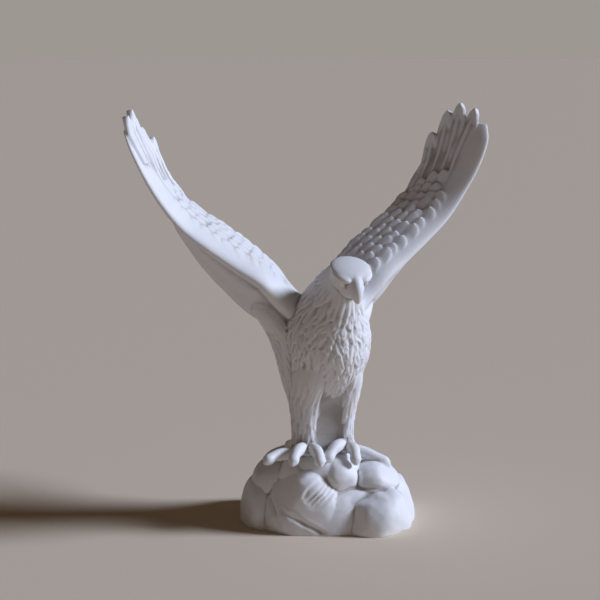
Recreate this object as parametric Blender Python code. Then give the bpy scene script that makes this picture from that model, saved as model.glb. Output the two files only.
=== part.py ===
"""Eagle with raised wings on a boulder mound, cast as one solid piece. Metres, +Z up.

The eagle faces -Y. The origin is on the flat underside, below the eagle's body.
The figure's pose and carving are written in hundredths of its height, measured
from the perch, and the boulders as shares of the mound's width, depth and height.
"""

import math
import random

import bpy
import numpy as np

for old in list(bpy.data.objects):
    bpy.data.objects.remove(old, do_unlink=True)

# Sizes
FIGURE_HEIGHT = 0.282    # from the perch under the feet to the highest wing tip
ROCK_WIDTH = 0.152       # the mound along its long side
ROCK_DEPTH = 0.114       # the mound across
ROCK_HEIGHT = 0.068      # from the underside to the perch

# The mound's long side is turned from the eagle's shoulders, and it stands out further behind
ROCK_TURN = math.radians(-20)
ROCK_BACK_SHARE = 0.12   # how far its middle lies behind the body, as a share of its depth

# Fineness of the carved surface, in hundredths of the figure's height
GRAIN = 0.5
KEPT_FACES = 0.037       # share of the surface's faces that is kept

UNIT = FIGURE_HEIGHT / 100


# Curves and solids that the carving is made of

def unit(vector):
    vector = np.asarray(vector, float)
    return vector / np.linalg.norm(vector, axis=-1, keepdims=True)


def curve(rows, places):
    """Points on a smooth curve through the rows, at places counted in rows."""
    rows = np.asarray(rows, float)
    last = len(rows) - 1
    places = np.clip(np.asarray(places, float), 0, last)
    k = np.minimum(places.astype(int), last - 1)
    t = (places - k)[..., None]
    knots = np.vstack([2 * rows[0] - rows[1], rows, 2 * rows[last] - rows[last - 1]])
    a, b, c, d = knots[k], knots[k + 1], knots[k + 2], knots[k + 3]
    return 0.5 * (2 * b + (c - a) * t + (2 * a - 5 * b + 4 * c - d) * t * t
                  + (3 * b - a - 3 * c + d) * t ** 3)


def smooth(rows, count):
    return curve(rows, np.linspace(0, len(rows) - 1, count))


class Clay:
    """Closed solids, which the mould later joins to one skin. Side -1 mirrors what is added."""

    def __init__(self):
        self.points = []
        self.faces = []
        self.count = 0
        self.side = 1

    def loft(self, rings):
        """Closed solid through rings of equal count, with flat ends."""
        rings = np.array(rings, float)
        if self.side < 0:
            rings[..., 0] *= -1
            rings = rings[:, ::-1]
        rows, count = rings.shape[:2]
        i, j = np.meshgrid(np.arange(rows - 1), np.arange(count), indexing="ij")
        k = (j + 1) % count
        quads = np.stack([i * count + j, i * count + k, (i + 1) * count + k, (i + 1) * count + j], -1)
        faces = (quads.reshape(-1, 4) + self.count).tolist()
        faces.append([self.count + n for n in range(count - 1, -1, -1)])
        faces.append([self.count + (rows - 1) * count + n for n in range(count)])
        self.faces += faces
        self.points.append(rings.reshape(-1, 3))
        self.count += rows * count

    def tube(self, path, radii, up=(0, 0, 1), flat=1.0, sides=20):
        """Round solid along a path; flat squeezes it along the direction nearest to up."""
        path = np.asarray(path, float)
        along = unit(np.gradient(path, axis=0))
        side = unit(np.cross(along, up))
        top = np.cross(side, along)
        turn = np.linspace(0, 2 * math.pi, sides, endpoint=False)[None, :, None]
        radii = np.asarray(radii, float)[:, None, None]
        self.loft(path[:, None] + radii * (np.cos(turn) * side[:, None] + flat * np.sin(turn) * top[:, None]))

    def ball(self, middle, size, axes=np.eye(3), sides=32):
        """Ellipsoid with half axes size along the rows of axes."""
        tilt = np.linspace(0.03, math.pi - 0.03, sides // 2 + 2)[:, None]
        turn = np.linspace(0, 2 * math.pi, sides, endpoint=False)[None]
        local = np.stack([np.sin(tilt) * np.cos(turn) * size[0], np.sin(tilt) * np.sin(turn) * size[1],
                          -np.cos(tilt) * size[2] + 0 * turn], -1)
        self.loft(np.asarray(middle) + local @ np.asarray(axes))

    def feather(self, path, normals, half_width, thick, section):
        """Blade along a path on a surface; section is its outline in shares of width and thickness."""
        path = np.asarray(path, float)
        along = unit(np.gradient(path, axis=0))
        side = unit(np.cross(along, normals))
        top = np.cross(side, along)
        section = np.asarray(section, float)
        across = section[None, :, :1] * (np.asarray(half_width) * np.ones(len(path)))[:, None, None]
        raised = section[None, :, 1:] * (np.asarray(thick) * np.ones(len(path)))[:, None, None]
        self.loft(path[:, None] + across * side[:, None] + raised * top[:, None])


clay = Clay()


# Wings: a long arched form with a smooth rounded front edge, which thins to the back edge. What is
# drawn is the eagle's left wing, and the right one mirrors it.

# stations from the shoulder to the hand: the front edge, the back edge, the half thickness of
# the front and the depth of the underside
NOSE = [(6.4, -4.6, 37.6), (13.4, 0.6, 43.2), (19.8, 1, 50), (27.4, 3.4, 55.3), (35.5, 5.5, 61.3),
        (42.7, 7, 67.4), (48.4, 7.8, 74.7), (53.2, 7.8, 82.7), (56.8, 8.8, 90.8), (58, 12, 96.1)]
TRAIL = [(3.5, 15, 44), (9, 18.6, 51.6), (15, 20.8, 58), (20.8, 21, 62.7), (26.4, 21.8, 66.8),
         (32.3, 24, 71), (37.5, 26.2, 76), (42.2, 26.8, 83), (46.2, 26, 90.6), (50.6, 22.4, 96.4)]
NOSE_THICK = [(4.4,), (3.5,), (2.8,), (2.4,), (2.1,), (1.9,), (1.7,), (1.45,), (1.15,), (0.8,)]
BELLY = [(9.8,), (13.6,), (14.2,), (13.2,), (10.6,), (6.6,), (2.9,), (1.3,), (1.0,), (0.7,)]
NOSE_SHARE = 0.3         # share of the chord that the round of the front edge takes
BELLY_AT = 0.58          # share of the chord where the underside is deepest
TRAIL_THICK = 0.6        # half thickness at the back edge
WING_CAMBER = 0.5        # how far the wing is arched toward its back
SMOOTH_BAND = 0.25       # share of the chord that stays smooth along the front edge


def wing_point(s, c, face):
    """Point and outward normal on the wing's back (face 1) or underside (face -1)."""
    s, c = np.broadcast_arrays(np.asarray(s, float), np.asarray(c, float))
    step = 0.05
    nose = curve(NOSE, s)
    chord = curve(TRAIL, s) - nose
    ahead = curve(NOSE, s + step) + curve(TRAIL, s + step)
    behind = curve(NOSE, s - step) + curve(TRAIL, s - step)
    along = unit(ahead - behind)
    normal = unit(np.cross(along, chord))
    thick = curve(NOSE_THICK, s)[..., 0]
    fall = np.clip((c - NOSE_SHARE) / (1 - NOSE_SHARE), 0, 1)
    rise = np.clip(1 - c / NOSE_SHARE, 0, 1)
    half = np.where(c < NOSE_SHARE, thick * np.sqrt(1 - rise ** 2),
                    TRAIL_THICK + (thick - TRAIL_THICK) * (1 - fall) ** 1.2)
    if face < 0:
        before = np.sin(0.5 * math.pi * np.clip(c / BELLY_AT, 0, 1)) ** 1.25
        after = 1 - np.clip((c - BELLY_AT) / (1 - BELLY_AT), 0, 1) ** 1.4
        half = np.maximum(half, curve(BELLY, s)[..., 0] * np.where(c < BELLY_AT, before, after))
    arch = WING_CAMBER * 4 * c * (1 - c)
    return nose + chord * c[..., None] + normal * (arch + face * half)[..., None], normal * face


def on_wing(face, start, stop, count, lift_from, lift_to):
    """Path and normals on a wing face from (station, chord share) start to stop, rising off it."""
    t = np.linspace(0, 1, count)
    s = start[0] + (stop[0] - start[0]) * t
    c = np.clip(start[1] + (stop[1] - start[1]) * t, 0.02, 0.995)
    points, normals = wing_point(s, c, face)
    return points + normals * (lift_from + (lift_to - lift_from) * t)[:, None], normals


def leaf(count, widest=0.5, tip=0.06, point=2.0):
    """Half widths of a feather from root to tip, as shares of its widest; point rounds the tip."""
    t = np.linspace(0, 1, count)
    root = 0.7 + 0.3 * np.sin(0.5 * math.pi * np.clip(t / widest, 0, 1))
    end = np.clip((t - widest) / (1 - widest), 0, 1)
    return np.maximum(tip, root * np.sqrt(1 - end ** point))


SCALE_SECTION = ((-1, -0.3), (-0.9, 0.35), (-0.65, 0.72), (-0.3, 0.9), (0, 1.0), (0.3, 0.9), (0.65, 0.72),
                 (0.9, 0.35), (1, -0.3), (0.5, -1.2), (-0.5, -1.2))
LOCK_SECTION = ((-1, -0.2), (-0.8, 0.5), (-0.35, 0.85), (0, 1.0), (0.35, 0.85), (0.8, 0.5), (1, -0.2),
                (0.4, -1.2), (-0.4, -1.2))
FLUTE_SECTION = ((-1, -0.25), (-0.8, 0.0), (-0.5, 0.0), (-0.28, 0.02), (-0.14, 0.5), (0, 0.85),
                 (0.14, 0.5), (0.28, 0.02), (0.5, 0.0), (0.8, 0.0), (1, -0.25), (0.7, -1.3), (-0.7, -1.3))

# long feathers of the hand: where the shaft starts and where it crosses the hand, as station and
# chord share, the half width, and the tips on the eagle's left and right wing
LONG = [((5.9, 0.36), (7.6, 0.42), 2.9, (55.9, 15.8, 100.9), (55.3, 15.8, 102)),
        ((6.5, 0.54), (7.8, 0.6), 2.9, (52.7, 20, 102.5), (53.9, 19, 100)),
        ((6.4, 0.7), (7.7, 0.78), 2.9, (49.8, 23, 100.1), (51, 22.5, 96.5)),
        ((6.0, 0.83), (7.2, 0.9), 2.8, (45.6, 25.6, 93.2), (46.7, 25.6, 93.4)),
        ((5.2, 0.88), (6.2, 0.92), 2.1, (43, 25.6, 83.4), (43, 25.6, 83.4))]
# the eagle's right hand ends in a fuller front lobe
LOBE = ((7.4, 0.16), (8.7, 0.18), 2.4, (57, 12.7, 100.4))
CORE_STATIONS = 9
NOSE_SHARES = (0, 0.012, 0.04, 0.09)   # chord shares drawn around the front edge
BLADE_POINTS = 26
BLADE_THICK = (1.0, 0.8)   # of the long feathers, at the root and at the tip
SCALE_ROWS = 4
SCALE_STEP = 0.43        # stations from one scale feather to the next in its row
SCALE_LENGTH = 0.78
SCALE_HALF_WIDTH = 2.7
SCALE_THICK = 0.8
TIPS_RAISED = {1: 0.35, -1: 0.1}   # off the eagle's left wing, and off the smoother right one
SCALE_SLANT = 0.1        # chord share that a scale feather crosses toward the back edge
SCALES_FROM = 0.7
SCALES_TO = (5.0, 5.6, 5.7, 5.3, 4.7)   # the last station of each row
# long smooth feathers underneath: chord share, first and last station, length and half width
UNDER_ROWS = ((0.72, 0.7, 6.4, 1.0, 2.4), (0.88, 0.5, 6.4, 1.2, 2.5))
UNDER_STEP = 0.5
UNDER_THICK = 0.6

rng = random.Random(11)


def model_wing(side):
    clay.side = side
    shares = np.concatenate([NOSE_SHARES, np.linspace(0.16, 1, 12)])
    stations = np.linspace(0, CORE_STATIONS, 46)[:, None]
    back = wing_point(stations, shares[None], 1)[0]
    under = wing_point(stations, shares[None, ::-1], -1)[0]
    clay.loft(np.concatenate([back, under[:, :-1]], axis=1))
    for start, middle, half, left_tip, right_tip in LONG:
        tip = left_tip if side > 0 else right_tip
        for face in (1, -1):
            path, normals = on_wing(face, start, middle, 3, 0.15, 0.15)
            path = smooth(np.vstack([path, tip]), BLADE_POINTS)
            normals = unit(smooth(np.vstack([normals, normals[-1]]), BLADE_POINTS))
            widths = half * leaf(BLADE_POINTS, 0.8, 0.1, 2.6)
            clay.feather(path, normals, widths, np.linspace(*BLADE_THICK, BLADE_POINTS), FLUTE_SECTION)
    if side < 0:
        start, middle, half, tip = LOBE
        path, normals = on_wing(1, start, middle, 3, -0.2, -0.2)
        path = smooth(np.vstack([path, tip]), BLADE_POINTS)
        normals = unit(smooth(np.vstack([normals, normals[-1]]), BLADE_POINTS))
        clay.feather(path, normals, half * leaf(BLADE_POINTS, 0.6, 0.1, 2.2), 1.0, LOCK_SECTION)
    for row in range(SCALE_ROWS, -1, -1):
        share = row / SCALE_ROWS
        c = SMOOTH_BAND + 0.03 + (0.88 - SMOOTH_BAND) * share
        sunk = 0.25 if row == 0 else 0
        for s in np.arange(SCALES_TO[row] + 0.5 * SCALE_STEP * (row % 2), SCALES_FROM, -SCALE_STEP):
            s += rng.uniform(-0.08, 0.08)
            length = SCALE_LENGTH * (0.9 + 0.06 * s) * rng.uniform(0.88, 1.12)
            start = (s, c - 0.5 * SCALE_SLANT + rng.uniform(-0.025, 0.025))
            stop = (s + length, c + 0.5 * SCALE_SLANT)
            path, normals = on_wing(1, start, stop, 12, -0.8 - sunk, TIPS_RAISED[side] - sunk)
            half = SCALE_HALF_WIDTH * rng.uniform(0.9, 1.1)
            clay.feather(path, normals, half * leaf(12, 0.5, 0.08, 2.2), SCALE_THICK, SCALE_SECTION)
    for c, first, final, length, half in UNDER_ROWS:
        for s in np.arange(final, first, -UNDER_STEP):
            path, normals = on_wing(-1, (s, c - 0.04), (s + length, c + 0.08), 12, -0.6, -0.25)
            clay.feather(path, normals, half * leaf(12, 0.6, 0.08, 2), UNDER_THICK, SCALE_SECTION)
    clay.side = 1


model_wing(1)
model_wing(-1)


# Body: one swelling form from the vent to the nape. Its sections are each the middle (y, z), the
# lean forward in degrees, the half width and the half depth

BODY = [(8, 8, -4, 5, 5), (6.6, 13, 0, 7.4, 8.8), (4.6, 18.5, 0, 9.6, 12.2), (2.6, 24.5, 1, 11.4, 14.8),
        (0.8, 31, 4, 12.4, 16), (-0.9, 37.2, 10, 12.2, 14.8), (-3.7, 42, 20, 10.2, 12.8),
        (-7.1, 46.4, 34, 7.6, 10.6), (-10.5, 50.2, 47, 5.7, 8.6), (-13.6, 53.8, 56, 4.7, 6.2)]
BODY_END = len(BODY) - 1


def body_point(t, turn):
    """Point and outward normal; turn 0 is the eagle's left (+X), 90 degrees its back."""
    t, turn = np.broadcast_arrays(np.asarray(t, float), np.asarray(turn, float))
    y, z, lean, wide, deep = np.moveaxis(curve(BODY, t), -1, 0)
    lean = np.radians(lean)
    back = np.stack([0 * lean, np.cos(lean), np.sin(lean)], -1)
    side = np.array([1.0, 0, 0])
    shift = 0.3 * np.clip(t - 6, 0, None)
    middle = np.stack([shift, y, z], -1)
    cos, sin = np.cos(turn)[..., None], np.sin(turn)[..., None]
    point = middle + wide[..., None] * cos * side + deep[..., None] * sin * back
    return point, unit(cos / wide[..., None] * side + sin / deep[..., None] * back)


clay.loft(body_point(np.linspace(0, BODY_END, 60)[:, None],
                     np.linspace(0, 2 * math.pi, 64, endpoint=False)[None])[0])

LOCK_STEP = 0.42         # sections between rows of locks
LOCK_SPACING = 3.3       # between locks of one row
LOCK_LENGTH = 1.0       # in sections
LOCK_HALF_WIDTH = 1.6


def lay_locks(surface, t, turn, length, half, sway, lift=0.9, thick=0.9):
    """One pointed lock on a surface, from place t down, lifting off toward its tip."""
    u = np.linspace(0, 1, 9)
    points, normals = surface(t - min(length, t) * u, turn + sway * u ** 2)
    path = points + normals * (-0.7 + lift * u)[:, None]
    clay.feather(path, normals, half * leaf(9, 0.4, 0.06, 1.5), thick, LOCK_SECTION)


for row, t in enumerate(np.arange(0.9, BODY_END, LOCK_STEP)):
    wide, deep = curve(BODY, t)[3:]
    around = int(math.pi * (wide + deep) / LOCK_SPACING)
    for k in range(around):
        turn = 2 * math.pi * (k + 0.5 * (row % 2) + rng.uniform(-0.3, 0.3)) / around
        lay_locks(body_point, t + rng.uniform(-0.12, 0.12), turn, LOCK_LENGTH * rng.uniform(0.8, 1.2),
                  LOCK_HALF_WIDTH * rng.uniform(0.8, 1.2), rng.uniform(-0.18, 0.18))


def column(rows, hip, middle=0):
    """Upright limb: rows are side, front to back, height, half width and half depth."""
    def surface(t, turn):
        t, turn = np.broadcast_arrays(np.asarray(t, float), np.asarray(turn, float))
        x, y, z, wide, deep = np.moveaxis(curve(rows, t), -1, 0)
        cos, sin = np.cos(turn), np.sin(turn)
        point = np.stack([middle + hip * x + wide * cos, y + deep * sin, z], -1)
        return point, unit(np.stack([cos / wide, sin / deep, 0 * turn], -1))
    heights = np.linspace(0, len(rows) - 1, 30)[:, None]
    clay.loft(surface(heights, np.linspace(0, 2 * math.pi, 40, endpoint=False)[None])[0])
    return surface


def dress(surface, last, around, step, length, half):
    """Rows of pointed locks down an upright limb."""
    for row, t in enumerate(np.arange(0.9, last, step)):
        for k in range(around):
            turn = 2 * math.pi * (k + 0.5 * (row % 2) + rng.uniform(-0.3, 0.3)) / around
            lay_locks(surface, t, turn, length * rng.uniform(0.8, 1.2), half, rng.uniform(-0.15, 0.15),
                      LIMB_LIFT, LIMB_THICK)


LIMB_LIFT = 0.8
LIMB_THICK = 0.8
# the flank fills the armpit, from the ribs up to the underside of the wing
FLANK = [(6.6, 3.6, 12, 2.6, 4.5), (8.1, 4.8, 20, 3.3, 6), (9.2, 6.2, 28, 3.8, 7.5),
         (10.8, 8.2, 35, 4.5, 8.5), (14.8, 10.4, 41, 4.6, 8), (18.5, 12.5, 46.5, 3, 5)]
FLANKS_AT = -0.7         # they sit a little to the eagle's right
for hip in (-1, 1):
    dress(column(FLANK, hip, FLANKS_AT), len(FLANK) - 1, 14, 0.42, 1.0, 1.4)


# Head: bowed forward, with a flat crown that overhangs the eyes as brows, and a deep hooked beak

HEAD = np.array([1.4, -15.6, 54.6])
BOW = math.radians(26)
FORE = np.array([0, -math.cos(BOW), -math.sin(BOW)])
UP = np.array([0, -math.sin(BOW), math.cos(BOW)])
SIDE = np.array([1.0, 0, 0])
HEAD_AXES = np.array([SIDE, FORE, UP])


def head_at(side, fore, up):
    return HEAD + side * SIDE + fore * FORE + up * UP


clay.ball(head_at(0, -0.9, 2.4), (6.1, 5.9, 1.55), HEAD_AXES)
clay.ball(head_at(0, -1.2, -0.7), (5.3, 6.2, 4.7), HEAD_AXES)
clay.ball(head_at(0, 1.8, -1.9), (3.9, 4.4, 3.4), HEAD_AXES)
BROW_TURN = math.radians(24)
for side in (-1, 1):
    fore = math.cos(BROW_TURN) * FORE - side * math.sin(BROW_TURN) * SIDE
    across = math.cos(BROW_TURN) * SIDE + side * math.sin(BROW_TURN) * FORE
    clay.ball(head_at(side * 3.5, 1.9, 1.8), (2.3, 3.9, 1.35), np.array([across, fore, UP]))
    clay.ball(head_at(side * 3.5, 3.0, 0.1), (1.1, 1.2, 1.1), HEAD_AXES)
BEAK = [(2.8, -0.4, 4.0), (5.0, -0.7, 3.5), (6.8, -1.6, 2.7), (7.9, -2.8, 1.6), (8.1, -3.9, 0.45)]
beak = smooth([(*head_at(0, fore, up), r) for fore, up, r in BEAK], 26)
clay.tube(beak[:, :3], beak[:, 3], up=SIDE, flat=0.7)
chin = smooth([head_at(0, 3, -2.2), head_at(0, 5.2, -2.7), head_at(0, 6.9, -3.1)], 10)
clay.tube(chin, np.linspace(2.1, 0.8, 10), up=UP, flat=0.6)


# Legs in feather trousers, from the thighs to the feet, with a plain web between them

# sections from the foot to the thigh: side of the middle, front to back, height, half width and
# half depth
LEG = [(6, 2.2, -1.5, 4.3, 5.4), (5.8, 2.6, 2.5, 3.6, 5), (5.8, 2.4, 9, 3.8, 6), (5.6, 1.6, 16, 4.9, 8.2),
       (4.8, 0.8, 23, 6.2, 11.3), (3.8, 0.4, 29, 6.6, 13)]
LEGS_AT = -0.5           # the stance stands a little to the eagle's right


LEG_LOCKS_AROUND = 12
LEG_LOCK_STEP = 0.42     # sections between rows of locks
LEG_LOCK_LENGTH = 1.1    # in sections
LEG_LOCK_HALF_WIDTH = 1.3
for hip in (-1, 1):
    dress(column(LEG, hip, LEGS_AT), len(LEG) - 1.1, LEG_LOCKS_AROUND, LEG_LOCK_STEP, LEG_LOCK_LENGTH,
          LEG_LOCK_HALF_WIDTH)

WEB = [(0.0, -3), (-0.6, 4), (-2.6, 11), (-6.4, 17), (-9.8, 22)]   # how far back it stands, and the height
WEB_HALF_WIDTH = 5
WEB_BACK = 12
WEB_CORNERS = [(-WEB_HALF_WIDTH, 0), (-WEB_HALF_WIDTH, 1), (WEB_HALF_WIDTH, 1), (WEB_HALF_WIDTH, 0)]
clay.loft([[(LEGS_AT + x, WEB_BACK if back else front, z) for x, back in WEB_CORNERS] for front, z in WEB])


# Tail: a narrow fan of long feathers from the rump down to the mound behind the legs

TAIL_SECTION = ((-1, 0), (-0.7, 0.55), (-0.2, 0.75), (0, 1.15), (0.2, 0.75), (0.7, 0.55), (1, 0),
                (0.5, -1.4), (-0.5, -1.4))
for k in (0, -1, 1, -2, 2):
    spread = k / 2
    path = smooth([(spread * 1.8, 13 - abs(spread), 19), (spread * 2.9, 14.6 - abs(spread), 9),
                   (spread * 4.2, 15.6 - abs(spread) * 1.6, -1 + abs(spread) * 0.6)], 20)
    normals = unit(np.tile([spread * 0.35, 0.9, 0.3], (20, 1)))
    clay.feather(path - normals * 0.25 * abs(k), normals, 2.0 * leaf(20, 0.75, 0.1, 2.6), 1.2, TAIL_SECTION)
clay.loft([[(x * w, y + d, z) for x, d in ((-1, -3), (-1, 1.0), (0, 2.0), (1, 1.0), (1, -3))]
           for w, y, z in ((4.6, 9, 20), (4.2, 10.4, 12), (4.2, 11.6, 4), (4.4, 12.2, -4))])


# Feet: three toes forward and one back on each, bent over the mound, with short blunt claws

ANKLE = 5.8
TOE_THICK = 1.7
CLAW = 1.0
TOES = [
    # the eagle's right foot: outer, middle, inner and back toe
    [(-ANKLE, 2, -1.2), (-12, 0.6, -1.2), (-17, -1.6, -0.9), (-19.8, -3, -1.6)],
    [(-ANKLE, 1, 0.2), (-9.2, -2.6, 0.9), (-12, -5.8, 0.4), (-13.4, -7.5, -1.1)],
    [(-ANKLE, 0, 0), (-5.6, -4.4, 0.7), (-5.4, -7.4, -0.2), (-5.5, -8.8, -1.9)],
    [(-ANKLE, 3, 0), (-7.4, 7.4, -0.2), (-8.4, 10.6, -1.6)],
    # its left foot
    [(ANKLE, 2, -1), (10.2, -0.2, -2.2), (14.4, -3.2, -3.8), (17.2, -4.8, -5.4)],
    [(ANKLE, 1, 0), (6.4, -4, 0.3), (6.4, -7, -0.5), (6, -8.8, -2.3)],
    [(ANKLE, 0, 0.4), (2.6, -3.6, 1.2), (-0.2, -6, 0.5), (-2.2, -7.6, -1.3)],
    [(ANKLE, 3, 0), (7.6, 7.4, -0.6), (8.8, 10.6, -2.4)],
]
for path in TOES:
    path = smooth(path, 30)
    knuckles = 1 + 0.07 * np.cos(np.linspace(0, 4 * math.pi, 30))
    clay.tube(path, TOE_THICK * np.linspace(1.15, 0.96, 30) * knuckles)
    clay.ball(path[-1], (TOE_THICK, TOE_THICK, TOE_THICK))
    ahead = unit(path[-1] - path[-4])
    nail = smooth([path[-1], path[-1] + ahead * CLAW + (0, 0, -0.3 * CLAW),
                   path[-1] + ahead * CLAW * 1.6 + (0, 0, -0.9 * CLAW)], 12)
    clay.tube(nail, np.linspace(TOE_THICK * 0.9, 0.7, 12))


# Mound: rounded stones with flat broken faces, pressed together. Each is its middle and half sizes
# as shares of the mound's half width, half depth and height, in the mound's own turned frame

HALF_MOUND = np.array([ROCK_WIDTH / 2, ROCK_DEPTH / 2, ROCK_HEIGHT])


def boulder(rock, middle, half, facets, seed, sharp=20):
    """Rounded stone with flat broken faces at seeded directions, in shares of the mound."""
    chooser = random.Random(seed)
    tilt = np.linspace(0.02, math.pi - 0.02, 60)[:, None]
    turn = np.linspace(0, 2 * math.pi, 100, endpoint=False)[None]
    level = np.sin(tilt)
    out = np.stack([level * np.cos(turn), level * np.sin(turn), -np.cos(tilt) + 0 * turn], -1)
    pull = np.ones(out.shape[:2])
    for _ in range(facets):
        direction = unit([chooser.gauss(0, 1), chooser.gauss(0, 1), chooser.gauss(0, 0.7)])
        depth = chooser.uniform(0.78, 0.93)
        pull += np.clip(out @ direction / depth, 0, None) ** sharp
    radius = pull ** (-1 / sharp)
    rock.loft((np.array(middle) + out * radius[..., None] * half) * HALF_MOUND)


BOULDERS = [
    # front, from the eagle's right to its left
    ((-0.24, -0.50, 0.16), (0.47, 0.50, 0.64), 12, 3),
    ((0.54, -0.44, 0.10), (0.48, 0.57, 0.46), 12, 5),
    ((-0.74, -0.08, 0.08), (0.27, 0.58, 0.56), 11, 8),
    ((0.78, 0.08, 0.06), (0.24, 0.60, 0.50), 11, 12),
    # back
    ((-0.54, 0.46, 0.12), (0.44, 0.52, 0.52), 12, 21),
    ((0.02, 0.56, 0.12), (0.44, 0.45, 0.56), 12, 24),
    ((0.54, 0.46, 0.10), (0.44, 0.50, 0.50), 12, 27),
    # upper ring
    ((-0.56, -0.14, 0.56), (0.30, 0.44, 0.29), 6, 31),
    ((-0.30, -0.38, 0.66), (0.30, 0.30, 0.24), 6, 32),
    ((0.10, -0.44, 0.64), (0.25, 0.30, 0.27), 11, 34),
    ((0.53, -0.16, 0.52), (0.30, 0.46, 0.29), 11, 35),
    ((-0.42, 0.30, 0.60), (0.36, 0.42, 0.29), 8, 37),
    ((0.26, 0.34, 0.60), (0.42, 0.42, 0.28), 8, 39),
    # crown of the mound, and the ground stone under all
    ((-0.10, -0.08, 0.66), (0.52, 0.66, 0.34), 6, 41),
    ((0, 0, 0.02), (0.97, 0.92, 0.72), 0, 1),
]
rock = Clay()
for middle, half, facets, seed in BOULDERS:
    boulder(rock, middle, half, facets, seed)


def turned(points):
    """From the mound's own axes to the eagle's."""
    x, y, z = np.moveaxis(points + (0, ROCK_BACK_SHARE * ROCK_DEPTH, 0), -1, 0)
    cos, sin = math.cos(ROCK_TURN), math.sin(ROCK_TURN)
    return np.stack([x * cos - y * sin, x * sin + y * cos, z], -1)


# One solid: the surface is drawn around everything, thinned to its main forms and cut flat below

figure_points = np.vstack(clay.points) * UNIT + (0, 0, ROCK_HEIGHT)
rock_points = turned(np.vstack(rock.points))
faces = clay.faces + [[clay.count + n for n in face] for face in rock.faces]
mesh = bpy.data.meshes.new("eagle_on_rock")
mesh.from_pydata(np.vstack([figure_points, rock_points]).tolist(), [], faces)
mesh.update()
statue = bpy.data.objects.new("eagle_on_rock", mesh)
bpy.context.collection.objects.link(statue)

shell = statue.modifiers.new("one_surface", "REMESH")
shell.mode = "VOXEL"
shell.voxel_size = GRAIN * UNIT
thin = statue.modifiers.new("main_forms", "DECIMATE")
thin.ratio = KEPT_FACES

cutter_size = 4 * ROCK_WIDTH
bpy.ops.mesh.primitive_cube_add(size=cutter_size, location=(0, 0, -cutter_size / 2))
cutter = bpy.context.object
cutter.name = "underside_cutter"
cutter.hide_render = True
cutter.display_type = "WIRE"
flat = statue.modifiers.new("flat_underside", "BOOLEAN")
flat.operation = "DIFFERENCE"
flat.solver = "EXACT"
flat.object = cutter

marble = bpy.data.materials.new("cast_marble")
marble.use_nodes = True
surface = marble.node_tree.nodes["Principled BSDF"]
surface.inputs["Base Color"].default_value = (0.80, 0.80, 0.80, 1)
surface.inputs["Roughness"].default_value = 0.6
surface.inputs["Metallic"].default_value = 0.0
statue.data.materials.append(marble)
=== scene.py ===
"""A cast marble eagle with raised wings, standing on a mound of boulders."""

import math
import random

import bmesh
import bpy
import numpy as np
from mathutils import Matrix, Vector


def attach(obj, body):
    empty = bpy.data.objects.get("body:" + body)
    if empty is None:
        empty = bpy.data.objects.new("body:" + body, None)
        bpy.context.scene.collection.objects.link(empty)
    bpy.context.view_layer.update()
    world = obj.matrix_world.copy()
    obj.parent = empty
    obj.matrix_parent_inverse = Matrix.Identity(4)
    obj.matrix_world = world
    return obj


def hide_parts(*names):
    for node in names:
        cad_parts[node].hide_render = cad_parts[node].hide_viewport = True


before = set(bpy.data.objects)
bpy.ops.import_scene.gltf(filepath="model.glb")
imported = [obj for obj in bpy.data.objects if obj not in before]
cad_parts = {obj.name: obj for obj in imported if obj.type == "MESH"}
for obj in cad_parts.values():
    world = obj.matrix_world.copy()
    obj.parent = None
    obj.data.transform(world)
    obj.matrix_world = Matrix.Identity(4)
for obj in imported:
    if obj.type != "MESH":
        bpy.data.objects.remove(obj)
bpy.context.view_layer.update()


# The wings, modelled first in clay as two mirrored pairs of feathered blades
# A long arched form with a smooth rounded front edge, which thins to the back edge, is
# laid over with rows of small scale feathers and, on the hand, with five fluted long ones

FIGURE_HEIGHT = 0.282    # metres from the perch under the feet to the highest wing tip
UNIT = FIGURE_HEIGHT / 100   # the figure is modelled in hundredths of its height


def unit(vector):
    vector = np.asarray(vector, float)
    return vector / np.linalg.norm(vector, axis=-1, keepdims=True)


def curve(rows, places):
    """Points on a smooth curve through the rows, at places counted in rows."""
    rows = np.asarray(rows, float)
    last = len(rows) - 1
    places = np.clip(np.asarray(places, float), 0, last)
    k = np.minimum(places.astype(int), last - 1)
    t = (places - k)[..., None]
    knots = np.vstack([2 * rows[0] - rows[1], rows, 2 * rows[last] - rows[last - 1]])
    a, b, c, d = knots[k], knots[k + 1], knots[k + 2], knots[k + 3]
    return 0.5 * (2 * b + (c - a) * t + (2 * a - 5 * b + 4 * c - d) * t * t
                  + (3 * b - a - 3 * c + d) * t ** 3)


def smooth(rows, count):
    return curve(rows, np.linspace(0, len(rows) - 1, count))


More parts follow.
